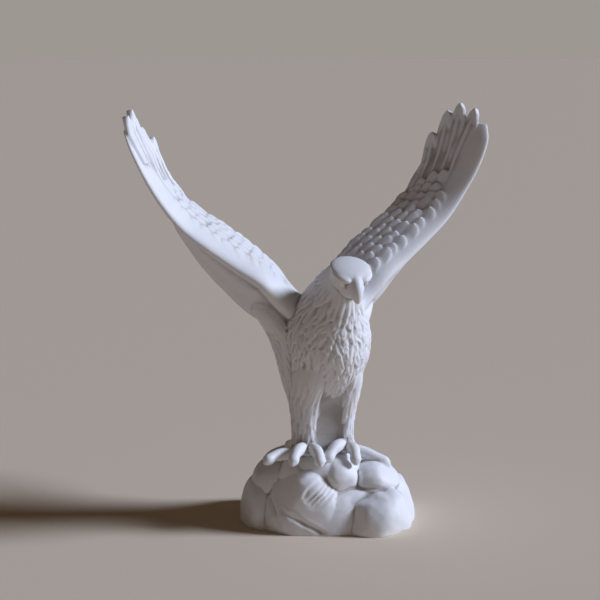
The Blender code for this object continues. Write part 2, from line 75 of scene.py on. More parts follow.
class Clay:
    """Closed solids, which the mould later joins to one skin. Side -1 mirrors what is added."""

    def __init__(self):
        self.points = []
        self.faces = []
        self.count = 0
        self.side = 1

    def loft(self, rings):
        """Closed solid through rings of equal count, with flat ends."""
        rings = np.array(rings, float)
        if self.side < 0:
            rings[..., 0] *= -1
            rings = rings[:, ::-1]
        rows, count = rings.shape[:2]
        i, j = np.meshgrid(np.arange(rows - 1), np.arange(count), indexing="ij")
        k = (j + 1) % count
        quads = np.stack([i * count + j, i * count + k, (i + 1) * count + k, (i + 1) * count + j], -1)
        faces = (quads.reshape(-1, 4) + self.count).tolist()
        faces.append([self.count + n for n in range(count - 1, -1, -1)])
        faces.append([self.count + (rows - 1) * count + n for n in range(count)])
        self.faces += faces
        self.points.append(rings.reshape(-1, 3))
        self.count += rows * count

    def tube(self, path, radii, up=(0, 0, 1), flat=1.0, sides=20):
        """Round solid along a path; flat squeezes it along the direction nearest to up."""
        path = np.asarray(path, float)
        along = unit(np.gradient(path, axis=0))
        side = unit(np.cross(along, up))
        top = np.cross(side, along)
        turn = np.linspace(0, 2 * math.pi, sides, endpoint=False)[None, :, None]
        radii = np.asarray(radii, float)[:, None, None]
        across = np.cos(turn) * side[:, None]
        upright = flat * np.sin(turn) * top[:, None]
        self.loft(path[:, None] + radii * (across + upright))

    def ball(self, middle, size, axes=np.eye(3), sides=32):
        """Ellipsoid with half axes size along the rows of axes."""
        tilt = np.linspace(0.03, math.pi - 0.03, sides // 2 + 2)[:, None]
        turn = np.linspace(0, 2 * math.pi, sides, endpoint=False)[None]
        local = np.stack([np.sin(tilt) * np.cos(turn) * size[0], np.sin(tilt) * np.sin(turn) * size[1],
                          -np.cos(tilt) * size[2] + 0 * turn], -1)
        self.loft(np.asarray(middle) + local @ np.asarray(axes))

    def feather(self, path, normals, half_width, thick, section):
        """Blade along a path on a surface; section is its outline in shares of width and thickness."""
        path = np.asarray(path, float)
        along = unit(np.gradient(path, axis=0))
        side = unit(np.cross(along, normals))
        top = np.cross(side, along)
        section = np.asarray(section, float)
        across = section[None, :, :1] * (np.asarray(half_width) * np.ones(len(path)))[:, None, None]
        raised = section[None, :, 1:] * (np.asarray(thick) * np.ones(len(path)))[:, None, None]
        self.loft(path[:, None] + across * side[:, None] + raised * top[:, None])


clay = Clay()

# stations from the shoulder to the hand: the front edge, the back edge, the half thickness of
# the front and the depth of the underside
NOSE = [(6.4, -4.6, 37.6), (13.4, 0.6, 43.2), (19.8, 1, 50), (27.4, 3.4, 55.3), (35.5, 5.5, 61.3),
        (42.7, 7, 67.4), (48.4, 7.8, 74.7), (53.2, 7.8, 82.7), (56.8, 8.8, 90.8), (58, 12, 96.1)]
TRAIL = [(3.5, 15, 44), (9, 18.6, 51.6), (15, 20.8, 58), (20.8, 21, 62.7), (26.4, 21.8, 66.8),
         (32.3, 24, 71), (37.5, 26.2, 76), (42.2, 26.8, 83), (46.2, 26, 90.6), (50.6, 22.4, 96.4)]
NOSE_THICK = [(4.4,), (3.5,), (2.8,), (2.4,), (2.1,), (1.9,), (1.7,), (1.45,), (1.15,), (0.8,)]
BELLY = [(9.8,), (13.6,), (14.2,), (13.2,), (10.6,), (6.6,), (2.9,), (1.3,), (1.0,), (0.7,)]
NOSE_SHARE = 0.3         # share of the chord that the round of the front edge takes
BELLY_AT = 0.58          # share of the chord where the underside is deepest
TRAIL_THICK = 0.6        # half thickness at the back edge
WING_CAMBER = 0.5        # how far the wing is arched toward its back
SMOOTH_BAND = 0.25       # share of the chord that stays smooth along the front edge


def wing_point(s, c, face):
    """Point and outward normal on the wing's back (face 1) or underside (face -1)."""
    s, c = np.broadcast_arrays(np.asarray(s, float), np.asarray(c, float))
    step = 0.05
    nose = curve(NOSE, s)
    chord = curve(TRAIL, s) - nose
    ahead = curve(NOSE, s + step) + curve(TRAIL, s + step)
    behind = curve(NOSE, s - step) + curve(TRAIL, s - step)
    along = unit(ahead - behind)
    normal = unit(np.cross(along, chord))
    thick = curve(NOSE_THICK, s)[..., 0]
    fall = np.clip((c - NOSE_SHARE) / (1 - NOSE_SHARE), 0, 1)
    rise = np.clip(1 - c / NOSE_SHARE, 0, 1)
    half = np.where(c < NOSE_SHARE, thick * np.sqrt(1 - rise ** 2),
                    TRAIL_THICK + (thick - TRAIL_THICK) * (1 - fall) ** 1.2)
    if face < 0:
        before = np.sin(0.5 * math.pi * np.clip(c / BELLY_AT, 0, 1)) ** 1.25
        after = 1 - np.clip((c - BELLY_AT) / (1 - BELLY_AT), 0, 1) ** 1.4
        half = np.maximum(half, curve(BELLY, s)[..., 0] * np.where(c < BELLY_AT, before, after))
    arch = WING_CAMBER * 4 * c * (1 - c)
    return nose + chord * c[..., None] + normal * (arch + face * half)[..., None], normal * face


def on_wing(face, start, stop, count, lift_from, lift_to):
    """Path and normals on a wing face from (station, chord share) start to stop, rising off it."""
    t = np.linspace(0, 1, count)
    s = start[0] + (stop[0] - start[0]) * t
    c = np.clip(start[1] + (stop[1] - start[1]) * t, 0.02, 0.995)
    points, normals = wing_point(s, c, face)
    return points + normals * (lift_from + (lift_to - lift_from) * t)[:, None], normals


def leaf(count, widest=0.5, tip=0.06, point=2.0):
    """Half widths of a feather from root to tip, as shares of its widest; point rounds the tip."""
    t = np.linspace(0, 1, count)
    root = 0.7 + 0.3 * np.sin(0.5 * math.pi * np.clip(t / widest, 0, 1))
    end = np.clip((t - widest) / (1 - widest), 0, 1)
    return np.maximum(tip, root * np.sqrt(1 - end ** point))


# outlines of the feathers, as shares of their half width and thickness
SCALE_SECTION = ((-1, -0.3), (-0.9, 0.35), (-0.65, 0.72), (-0.3, 0.9), (0, 1.0), (0.3, 0.9), (0.65, 0.72),
                 (0.9, 0.35), (1, -0.3), (0.5, -1.2), (-0.5, -1.2))
LOCK_SECTION = ((-1, -0.2), (-0.8, 0.5), (-0.35, 0.85), (0, 1.0), (0.35, 0.85), (0.8, 0.5), (1, -0.2),
                (0.4, -1.2), (-0.4, -1.2))
FLUTE_SECTION = ((-1, -0.25), (-0.8, 0.0), (-0.5, 0.0), (-0.28, 0.02), (-0.14, 0.5), (0, 0.85),
                 (0.14, 0.5), (0.28, 0.02), (0.5, 0.0), (0.8, 0.0), (1, -0.25), (0.7, -1.3), (-0.7, -1.3))

# long feathers of the hand: where the shaft starts and where it crosses the hand, as station and
# chord share, the half width, and the tips on the eagle's left and right wing
LONG = [((5.9, 0.36), (7.6, 0.42), 2.9, (55.9, 15.8, 100.9), (55.3, 15.8, 102)),
        ((6.5, 0.54), (7.8, 0.6), 2.9, (52.7, 20, 102.5), (53.9, 19, 100)),
        ((6.4, 0.7), (7.7, 0.78), 2.9, (49.8, 23, 100.1), (51, 22.5, 96.5)),
        ((6.0, 0.83), (7.2, 0.9), 2.8, (45.6, 25.6, 93.2), (46.7, 25.6, 93.4)),
        ((5.2, 0.88), (6.2, 0.92), 2.1, (43, 25.6, 83.4), (43, 25.6, 83.4))]
# the eagle's right hand ends in a fuller front lobe
LOBE = ((7.4, 0.16), (8.7, 0.18), 2.4, (57, 12.7, 100.4))
CORE_STATIONS = 9
CORE_SECTIONS = 90
NOSE_SHARES = (0, 0.012, 0.04, 0.09)   # chord shares drawn around the front edge
CHORD_SHARES = np.concatenate([NOSE_SHARES, np.linspace(0.16, 1, 24)])

# a leaf is where the feather is widest, how wide its tip is and how round
BLADE_POINTS = 26
BLADE_THICK = (1.0, 0.8)   # of the long feathers, at the root and at the tip
BLADE_RISE = (-0.9, 0.15)   # over the wing, at the root and across the hand
BLADE_LEAF = (0.8, 0.1, 2.6)
LOBE_SUNK = 0.2
LOBE_LEAF = (0.6, 0.1, 2.2)

SCALE_ROWS = 4
FIRST_ROW = 0.03         # chord share from the smooth band to the first row
ROWS_TO = 0.88
SCALE_STEP = 0.43        # stations from one scale feather to the next in its row
SCALE_JITTER = 0.08
SCALE_LENGTH = 0.78
SCALE_GROWTH = 0.06      # of the length, a station
SCALE_HALF_WIDTH = 2.7
SCALE_THICK = 0.5
SCALE_POINTS = 12
SCALE_LEAF = (0.5, 0.08, 2.2)
SCALE_SLANT = 0.1        # chord share that a scale feather crosses toward the back edge
SCALES_FROM = 0.7
SCALES_TO = (5.0, 5.6, 5.7, 5.3, 4.7)   # the last station of each row
ROOTS_SUNK = 0.8
FRONT_ROW_SUNK = 0.25    # so that the smooth band runs on into the first row
TIPS_RAISED = {1: 0.35, -1: 0.1}   # off the eagle's left wing, and off the smoother right one

# long smooth feathers underneath: chord share, first and last station, length and half width
UNDER_ROWS = ((0.72, 0.7, 6.4, 1.0, 2.4), (0.88, 0.5, 6.4, 1.2, 2.5))
UNDER_STEP = 0.5
UNDER_THICK = 0.5
UNDER_SLANT = (-0.04, 0.08)   # chord share at the root and at the tip, from that of the row
UNDER_RISE = (-0.6, -0.25)
UNDER_LEAF = (0.6, 0.08, 2)

rng = random.Random(11)


def to_tip(face, start, middle, tip, rise):
    """Path and normals of a long feather, over the hand and out to its free tip."""
    path, normals = on_wing(face, start, middle, 3, *rise)
    path = smooth(np.vstack([path, tip]), BLADE_POINTS)
    return path, unit(smooth(np.vstack([normals, normals[-1]]), BLADE_POINTS))


def model_long_feathers(side):
    thick = np.linspace(*BLADE_THICK, BLADE_POINTS)
    for start, middle, half, left_tip, right_tip in LONG:
        tip = left_tip if side > 0 else right_tip
        for face in (1, -1):
            path, normals = to_tip(face, start, middle, tip, BLADE_RISE)
            clay.feather(path, normals, half * leaf(BLADE_POINTS, *BLADE_LEAF), thick, FLUTE_SECTION)
    if side < 0:
        start, middle, half, tip = LOBE
        path, normals = to_tip(1, start, middle, tip, (-LOBE_SUNK, -LOBE_SUNK))
        clay.feather(path, normals, half * leaf(BLADE_POINTS, *LOBE_LEAF), 1.0, LOCK_SECTION)


def model_scales(side):
    """Rows of short feathers, from the back edge to the front, each row laid from the hand inward."""
    for row in range(SCALE_ROWS, -1, -1):
        c = SMOOTH_BAND + FIRST_ROW + (ROWS_TO - SMOOTH_BAND) * (row / SCALE_ROWS)
        sunk = FRONT_ROW_SUNK if row == 0 else 0
        for s in np.arange(SCALES_TO[row] + 0.5 * SCALE_STEP * (row % 2), SCALES_FROM, -SCALE_STEP):
            s += rng.uniform(-SCALE_JITTER, SCALE_JITTER)
            length = SCALE_LENGTH * (0.9 + SCALE_GROWTH * s) * rng.uniform(0.88, 1.12)
            start = (s, c - 0.5 * SCALE_SLANT + rng.uniform(-0.025, 0.025))
            stop = (s + length, c + 0.5 * SCALE_SLANT)
            rise = (-ROOTS_SUNK - sunk, TIPS_RAISED[side] - sunk)
            path, normals = on_wing(1, start, stop, SCALE_POINTS, *rise)
            half = SCALE_HALF_WIDTH * rng.uniform(0.9, 1.1)
            clay.feather(path, normals, half * leaf(SCALE_POINTS, *SCALE_LEAF), SCALE_THICK, SCALE_SECTION)


def model_underside():
    for c, first, final, length, half in UNDER_ROWS:
        for s in np.arange(final, first, -UNDER_STEP):
            start = (s, c + UNDER_SLANT[0])
            stop = (s + length, c + UNDER_SLANT[1])
            path, normals = on_wing(-1, start, stop, SCALE_POINTS, *UNDER_RISE)
            clay.feather(path, normals, half * leaf(SCALE_POINTS, *UNDER_LEAF), UNDER_THICK, SCALE_SECTION)


def model_wing(side):
    clay.side = side
    stations = np.linspace(0, CORE_STATIONS, CORE_SECTIONS)[:, None]
    back = wing_point(stations, CHORD_SHARES[None], 1)[0]
    under = wing_point(stations, CHORD_SHARES[None, ::-1], -1)[0]
    clay.loft(np.concatenate([back, under[:, :-1]], axis=1))
    model_long_feathers(side)
    model_scales(side)
    model_underside()
    clay.side = 1


model_wing(1)
model_wing(-1)


# The body, one swelling form from the vent to the nape
# Its plumage is modelled as rows of long pointed locks that overlap like shingles and part
# from the throat downward

# sections from the vent to the nape: front to back, height, lean forward in degrees, half width
# and half depth
BODY = [(8, 8, -4, 5, 5), (6.6, 13, 0, 7.4, 8.8), (4.6, 18.5, 0, 9.6, 12.2), (2.6, 24.5, 1, 11.4, 14.8),
        (0.8, 31, 4, 12.4, 16), (-0.9, 37.2, 10, 12.2, 14.8), (-3.7, 42, 20, 10.2, 12.8),
        (-7.1, 46.4, 34, 7.6, 10.6), (-10.5, 50.2, 47, 5.7, 8.6), (-13.6, 53.8, 56, 4.7, 6.2)]
BODY_END = len(BODY) - 1
NECK_FROM = 6            # the section from which the neck bends to the eagle's left
NECK_BEND = 0.3


def body_point(t, turn):
    """Point and outward normal; turn 0 is the eagle's left (+X), 90 degrees its back."""
    t, turn = np.broadcast_arrays(np.asarray(t, float), np.asarray(turn, float))
    y, z, lean, wide, deep = np.moveaxis(curve(BODY, t), -1, 0)
    lean = np.radians(lean)
    back = np.stack([0 * lean, np.cos(lean), np.sin(lean)], -1)
    side = np.array([1.0, 0, 0])
    shift = NECK_BEND * np.clip(t - NECK_FROM, 0, None)
    middle = np.stack([shift, y, z], -1)
    cos, sin = np.cos(turn)[..., None], np.sin(turn)[..., None]
    point = middle + wide[..., None] * cos * side + deep[..., None] * sin * back
    return point, unit(cos / wide[..., None] * side + sin / deep[..., None] * back)


clay.loft(body_point(np.linspace(0, BODY_END, 60)[:, None],
                     np.linspace(0, 2 * math.pi, 64, endpoint=False)[None])[0])

LOCKS_FROM = 0.9         # the section of the lowest row
LOCK_STEP = 0.3          # sections between rows of locks
LOCK_SPACING = 1.85      # between locks of one row
LOCK_LENGTH = 1.0        # in sections
LOCK_HALF_WIDTH = 0.9
LOCK_POINTS = 9
LOCK_LEAF = (0.4, 0.06, 1.5)
LOCK_ROOT = 0.7          # how deep a root lies under the surface
# how far the tips of the limbs' locks rise, and how thick those locks are
LIMB_LIFT = 0.5
LIMB_THICK = 0.7


def lay_locks(surface, t, turn, length, half, sway, lift=0.6, thick=0.7):
    """One pointed lock on a surface, from place t down, lifting off toward its tip."""
    u = np.linspace(0, 1, LOCK_POINTS)
    points, normals = surface(t - min(length, t) * u, turn + sway * u ** 2)
    path = points + normals * (-LOCK_ROOT + lift * u)[:, None]
    clay.feather(path, normals, half * leaf(LOCK_POINTS, *LOCK_LEAF), thick, LOCK_SECTION)


for row, t in enumerate(np.arange(LOCKS_FROM, BODY_END, LOCK_STEP)):
    wide, deep = curve(BODY, t)[3:]
    around = int(math.pi * (wide + deep) / LOCK_SPACING)
    for k in range(around):
        turn = 2 * math.pi * (k + 0.5 * (row % 2) + rng.uniform(-0.3, 0.3)) / around
        lay_locks(body_point, t + rng.uniform(-0.12, 0.12), turn, LOCK_LENGTH * rng.uniform(0.8, 1.2),
                  LOCK_HALF_WIDTH * rng.uniform(0.8, 1.2), rng.uniform(-0.18, 0.18))


def column(rows, hip, middle=0):
    """Upright limb: rows are side, front to back, height, half width and half depth."""
    def surface(t, turn):
        t, turn = np.broadcast_arrays(np.asarray(t, float), np.asarray(turn, float))
        x, y, z, wide, deep = np.moveaxis(curve(rows, t), -1, 0)
        cos, sin = np.cos(turn), np.sin(turn)
        point = np.stack([middle + hip * x + wide * cos, y + deep * sin, z], -1)
        return point, unit(np.stack([cos / wide, sin / deep, 0 * turn], -1))
    heights = np.linspace(0, len(rows) - 1, 30)[:, None]
    clay.loft(surface(heights, np.linspace(0, 2 * math.pi, 40, endpoint=False)[None])[0])
    return surface


def dress(surface, last, around, step, length, half):
    """Rows of pointed locks down an upright limb."""
    for row, t in enumerate(np.arange(LOCKS_FROM, last, step)):
        for k in range(around):
            turn = 2 * math.pi * (k + 0.5 * (row % 2) + rng.uniform(-0.3, 0.3)) / around
            lay_locks(surface, t, turn, length * rng.uniform(0.8, 1.2), half, rng.uniform(-0.15, 0.15),
                      LIMB_LIFT, LIMB_THICK)


# the flank fills the armpit, from the ribs up to the underside of the wing
FLANK = [(6.6, 3.6, 12, 2.6, 4.5), (8.1, 4.8, 20, 3.3, 6), (9.2, 6.2, 28, 3.8, 7.5),
         (10.8, 8.2, 35, 4.5, 8.5), (14.2, 11, 41, 4.6, 7.2), (18, 13.2, 46.5, 2.6, 4.2)]
FLANKS_AT = -0.7         # they sit a little to the eagle's right
FLANK_LOCKS = (20, 0.33, 1.0, 1.1)   # how many around, sections between rows, length, half width
for hip in (-1, 1):
    dress(column(FLANK, hip, FLANKS_AT), len(FLANK) - 1, *FLANK_LOCKS)


# The head, bowed forward and left smooth
# A flat crown overhangs the eyes as brows and runs forward into a deep hooked beak

HEAD = np.array([1.4, -15.6, 54.6])
BOW = math.radians(26)
FORE = np.array([0, -math.cos(BOW), -math.sin(BOW)])
UP = np.array([0, -math.sin(BOW), math.cos(BOW)])
SIDE = np.array([1.0, 0, 0])
HEAD_AXES = np.array([SIDE, FORE, UP])


def head_at(side, fore, up):
    return HEAD + side * SIDE + fore * FORE + up * UP


# crown, skull and cheeks: the middle and the half sizes, to the side, forward and up
SKULL = [((0, -0.9, 2.4), (6.1, 5.9, 1.55)), ((0, -1.2, -0.7), (5.3, 6.2, 4.7)),
         ((0, 1.8, -1.9), (3.9, 4.4, 3.4))]
for middle, half in SKULL:
    clay.ball(head_at(*middle), half, HEAD_AXES)
BROW_TURN = math.radians(24)
BROW = ((3.5, 1.9, 1.8), (2.3, 3.9, 1.35))
EYE = ((3.5, 3.0, 0.1), (1.1, 1.2, 1.1))
for side in (-1, 1):
    fore = math.cos(BROW_TURN) * FORE - side * math.sin(BROW_TURN) * SIDE
    across = math.cos(BROW_TURN) * SIDE + side * math.sin(BROW_TURN) * FORE
    for ((x, y, z), half), axes in ((BROW, np.array([across, fore, UP])), (EYE, HEAD_AXES)):
        clay.ball(head_at(side * x, y, z), half, axes)
# forward, up and the radius
BEAK = [(2.8, -0.4, 4.0), (5.0, -0.7, 3.5), (6.8, -1.6, 2.7), (7.9, -2.8, 1.6), (8.1, -3.9, 0.45)]
beak = smooth([(*head_at(0, fore, up), r) for fore, up, r in BEAK], 26)
clay.tube(beak[:, :3], beak[:, 3], up=SIDE, flat=0.7)
CHIN = [(0, 3, -2.2), (0, 5.2, -2.7), (0, 6.9, -3.1)]
CHIN_THICK = (2.1, 0.8)
clay.tube(smooth([head_at(*place) for place in CHIN], 10), np.linspace(*CHIN_THICK, 10), up=UP, flat=0.6)


# The legs in feather trousers, with the narrow tail close behind them
# The clay between the legs isn't cut away: it stands back as a plain web down to the mound

# sections from the foot to the thigh: side of the middle, front to back, height, half width and
# half depth
LEG = [(6, 2.2, -1.5, 4.3, 5.4), (5.8, 2.6, 2.5, 3.6, 5), (5.8, 2.4, 9, 3.8, 6), (5.6, 1.6, 16, 4.9, 8.2),
       (4.8, 0.8, 23, 6.2, 11.3), (3.8, 0.4, 29, 6.6, 13)]
LEGS_AT = -0.5           # the stance stands a little to the eagle's right
LEG_LOCKS = (14, 0.31, 1.1, 1.1)   # how many around, sections between rows, length, half width
for hip in (-1, 1):
    dress(column(LEG, hip, LEGS_AT), len(LEG) - 1.1, *LEG_LOCKS)

# how far back the web stands, and the height
WEB = [(-1.2, -3), (-1.7, 4), (-3.3, 11), (-6.6, 17), (-9.8, 22)]
WEB_HALF_WIDTH = 5
WEB_BACK = 12
WEB_CORNERS = [(-WEB_HALF_WIDTH, 0), (-WEB_HALF_WIDTH, 1), (WEB_HALF_WIDTH, 1), (WEB_HALF_WIDTH, 0)]
clay.loft([[(LEGS_AT + x, WEB_BACK if back else front, z) for x, back in WEB_CORNERS] for front, z in WEB])

# five tail feathers, fanned from the rump down to the mound, the middle one on top
TAIL_SECTION = ((-1, 0), (-0.7, 0.55), (-0.2, 0.75), (0, 1.15), (0.2, 0.75), (0.7, 0.55), (1, 0),
                (0.5, -1.4), (-0.5, -1.4))
for k in (0, -1, 1, -2, 2):
    spread = k / 2
    path = smooth([(spread * 1.8, 13 - abs(spread), 19), (spread * 2.9, 14.6 - abs(spread), 9),
                   (spread * 4.2, 15.6 - abs(spread) * 1.6, -1 + abs(spread) * 0.6)], 20)
    normals = unit(np.tile([spread * 0.35, 0.9, 0.3], (20, 1)))
    widths = 2.0 * leaf(20, 0.75, 0.1, 2.6)
    clay.feather(path - normals * 0.25 * abs(k), normals, widths, 1.2, TAIL_SECTION)
# the rump that carries the tail: half width, front to back and height
RUMP = ((4.6, 9, 20), (4.2, 10.4, 12), (4.2, 11.6, 4), (4.4, 12.2, -4))
RUMP_SECTION = ((-1, -3), (-1, 1.0), (0, 2.0), (1, 1.0), (1, -3))
clay.loft([[(x * wide, y + deep, z) for x, deep in RUMP_SECTION] for wide, y, z in RUMP])


# The feet, three toes forward and one back on each, bent over the boulders
# They are modelled round and blunt, with short claws that point down

ANKLE = 5.8
TOE_THICK = 1.7
TOE_TAPER = (1.15, 0.96)
CLAW = 1.0
CLAW_END = 0.7
TOES = [
    # the eagle's right foot: outer, middle, inner and back toe
    [(-ANKLE, 2, -1.2), (-12, 0.6, -1.2), (-17, -1.6, -0.9), (-19.8, -3, -1.6)],
    [(-ANKLE, 1, 0.2), (-9.2, -2.6, 0.9), (-12, -5.8, 0.4), (-13.4, -7.5, -1.1)],
    [(-ANKLE, 0, 0), (-5.6, -4.4, 0.7), (-5.4, -7.4, -0.2), (-5.5, -8.8, -1.9)],
    [(-ANKLE, 3, 0), (-7.4, 7.4, -0.2), (-8.4, 10.6, -1.6)],
    # its left foot
    [(ANKLE, 2, -1), (10.2, -0.2, -2.2), (14.4, -3.2, -3.8), (17.2, -4.8, -5.4)],
    [(ANKLE, 1, 0), (6.4, -4, 0.3), (6.4, -7, -0.5), (6, -8.8, -2.3)],
    [(ANKLE, 0, 0.4), (2.6, -3.6, 1.2), (-0.2, -6, 0.5), (-2.2, -7.6, -1.3)],
    [(ANKLE, 3, 0), (7.6, 7.4, -0.6), (8.8, 10.6, -2.4)],
]
for path in TOES:
    path = smooth(path, 30)
    knuckles = 1 + 0.07 * np.cos(np.linspace(0, 4 * math.pi, 30))
    clay.tube(path, TOE_THICK * np.linspace(*TOE_TAPER, 30) * knuckles)
    clay.ball(path[-1], (TOE_THICK, TOE_THICK, TOE_THICK))
    ahead = unit(path[-1] - path[-4]) * (1, 1, 0.6)
    nail = smooth([path[-1], path[-1] + ahead * CLAW + (0, 0, -0.3 * CLAW),
                   path[-1] + ahead * CLAW * 1.6 + (0, 0, -0.9 * CLAW)], 12)
    clay.tube(nail, np.linspace(TOE_THICK * 0.9, CLAW_END, 12))


# The mound of boulders, modelled with the figure
# Rounded stones with flat broken faces are pressed together; it lies turned from the shoulders

ROCK_WIDTH = 0.152
ROCK_DEPTH = 0.114
ROCK_HEIGHT = 0.068
ROCK_TURN = math.radians(-20)
ROCK_BACK_SHARE = 0.12   # how far its middle lies behind the body, as a share of its depth
HALF_MOUND = np.array([ROCK_WIDTH / 2, ROCK_DEPTH / 2, ROCK_HEIGHT])
FACET_DEPTH = (0.78, 0.93)   # how far out the broken faces cut a stone


def boulder(rock, middle, half, facets, seed, sharp=20):
    """Rounded stone with flat broken faces at seeded directions, in shares of the mound."""
    chooser = random.Random(seed)
    tilt = np.linspace(0.02, math.pi - 0.02, 60)[:, None]
    turn = np.linspace(0, 2 * math.pi, 100, endpoint=False)[None]
    level = np.sin(tilt)
    out = np.stack([level * np.cos(turn), level * np.sin(turn), -np.cos(tilt) + 0 * turn], -1)
    pull = np.ones(out.shape[:2])
    for _ in range(facets):
        direction = unit([chooser.gauss(0, 1), chooser.gauss(0, 1), chooser.gauss(0, 0.7)])
        depth = chooser.uniform(*FACET_DEPTH)
        pull += np.clip(out @ direction / depth, 0, None) ** sharp
    radius = pull ** (-1 / sharp)
    rock.loft((np.array(middle) + out * radius[..., None] * half) * HALF_MOUND)


# middle, half sizes, how many broken faces, and the seed that turns them
BOULDERS = [
    # front, from the eagle's right to its left
    ((-0.24, -0.50, 0.16), (0.47, 0.50, 0.64), 12, 3),
    ((0.54, -0.44, 0.10), (0.48, 0.57, 0.46), 12, 5),
    ((-0.74, -0.08, 0.08), (0.27, 0.58, 0.56), 11, 8),
    ((0.78, 0.08, 0.06), (0.24, 0.60, 0.50), 11, 12),
    # back
    ((-0.54, 0.46, 0.12), (0.44, 0.52, 0.52), 12, 21),
    ((0.02, 0.56, 0.12), (0.44, 0.45, 0.56), 12, 24),
    ((0.54, 0.46, 0.10), (0.44, 0.50, 0.50), 12, 27),
    # upper ring
    ((-0.56, -0.14, 0.56), (0.30, 0.44, 0.29), 6, 31),
    ((-0.30, -0.38, 0.66), (0.30, 0.30, 0.24), 6, 32),
    ((0.10, -0.44, 0.64), (0.25, 0.30, 0.27), 11, 34),
    ((0.53, -0.16, 0.52), (0.30, 0.46, 0.29), 11, 35),
    ((-0.42, 0.30, 0.60), (0.36, 0.42, 0.29), 8, 37),
    ((0.26, 0.34, 0.60), (0.42, 0.42, 0.28), 8, 39),
    # crown of the mound, and the ground stone under all
    ((-0.10, -0.08, 0.66), (0.52, 0.66, 0.34), 6, 41),
    ((0, 0, 0.02), (0.97, 0.92, 0.72), 0, 1),
]
rock = Clay()
for middle, half, facets, seed in BOULDERS:
    boulder(rock, middle, half, facets, seed)


def turned(points):
    """From the mound's own axes to the eagle's."""
    x, y, z = np.moveaxis(points + (0, ROCK_BACK_SHARE * ROCK_DEPTH, 0), -1, 0)
    cos, sin = math.cos(ROCK_TURN), math.sin(ROCK_TURN)
    return np.stack([x * cos - y * sin, x * sin + y * cos, z], -1)


# The casting: figure and mound are one piece, taken from one mould
# The mould's skin runs over all the clay at once, softens its sharpest edges, and the pour
# leaves a flat underside

SKIN = 0.00062   # metres between the points of the first skin
KEPT_FACES = 190000

figure_points = np.vstack(clay.points) * UNIT + (0, 0, ROCK_HEIGHT)
rock_points = turned(np.vstack(rock.points))
faces = clay.faces + [[clay.count + n for n in face] for face in rock.faces]
mesh = bpy.data.meshes.new("eagle_casting")
mesh.from_pydata(np.vstack([figure_points, rock_points]).tolist(), [], faces)
casting = bpy.data.objects.new("eagle_casting", mesh)
bpy.context.collection.objects.link(casting)


def settle(piece):
    """Replaces the piece's mesh with what its modifiers make of it."""
    result = bpy.data.meshes.new_from_object(piece.evaluated_get(bpy.context.evaluated_depsgraph_get()))
    piece.modifiers.clear()
    piece.data = result


skin = casting.modifiers.new("skin", "REMESH")
skin.mode = "VOXEL"
skin.voxel_size = SKIN
settle(casting)


def read_skin(mesh):
    points = np.empty(len(mesh.vertices) * 3, np.float32)
    mesh.vertices.foreach_get("co", points)
    normals = np.empty(len(mesh.vertices) * 3, np.float32)
    mesh.vertex_normals.foreach_get("vector", normals)
    return points.reshape(-1, 3).astype(float), normals.reshape(-1, 3).astype(float)


def uneven(points, size, seed):
    """Smooth random heights from -1 to 1, with lumps of that size in metres."""
    lattice = np.random.default_rng(seed).uniform(-1, 1, (32, 32, 32))
    place = points / size
    cell = np.floor(place).astype(int)
    t = place - cell
    t = t * t * (3 - 2 * t)
    total = np.zeros(len(points))
    for corner in np.ndindex(2, 2, 2):
        weight = np.prod(np.where(np.array(corner) == 1, t, 1 - t), axis=1)
        x, y, z = ((cell + corner) % 32).T
        total += weight * lattice[x, y, z]
    return total


def stroke_distance(points, path):
    """Distance from points to a path of straight pieces, and how far along it they are, 0 to 1."""
    path = np.asarray(path, float)
    best = np.full(len(points), np.inf)
    place = np.zeros(len(points))
    for k, (a, b) in enumerate(zip(path, path[1:])):
        along = np.clip((points - a) @ (b - a) / ((b - a) @ (b - a)), 0, 1)
        gap = np.linalg.norm(points - a - along[:, None] * (b - a), axis=1)
        closer = gap < best
        best = np.where(closer, gap, best)
        place = np.where(closer, (k + along) / (len(path) - 1), place)
    return best, place


# tool marks on the mound's front, in millimetres across and up: path, half width and depth
STROKES = [
    ([(-19.5, 33), (-16, 39.5), (-9, 44.5)], 1.3, 0.7),
    ([(-17, 29), (-10, 36), (-3, 42)], 1.1, 0.7),
    ([(-13.5, 27.5), (-6.5, 34.5), (0.6, 41)], 1.1, 0.85),
    ([(-9.8, 26.8), (-2.5, 33.2), (4.2, 38.8)], 1.1, 0.8),
    ([(-6, 26.6), (1, 31.6), (7.4, 36.2)], 1.2, 0.7),
    ([(-38, 20.5), (-24, 13), (-12, 6.8), (-2, 1.5)], 1.8, 1.3),
    ([(-34, 25), (-27, 19.5), (-20, 14)], 1.5, 0.5),
    ([(8, 31), (20, 36), (40, 36), (62, 31)], 1.8, 1.2),
    ([(-46, 40), (-49, 30), (-44, 18), (-40, 6)], 1.8, 1.1),
]
PATCH = ((-6, 35.6), (15, 11), math.radians(38), 0.8)   # dished patch: middle, half sizes, tilt, depth


GRAIN_OF_ROCK = ((0.45, 0.011, 5), (0.22, 0.0045, 6))   # millimetres high, metres across, seed


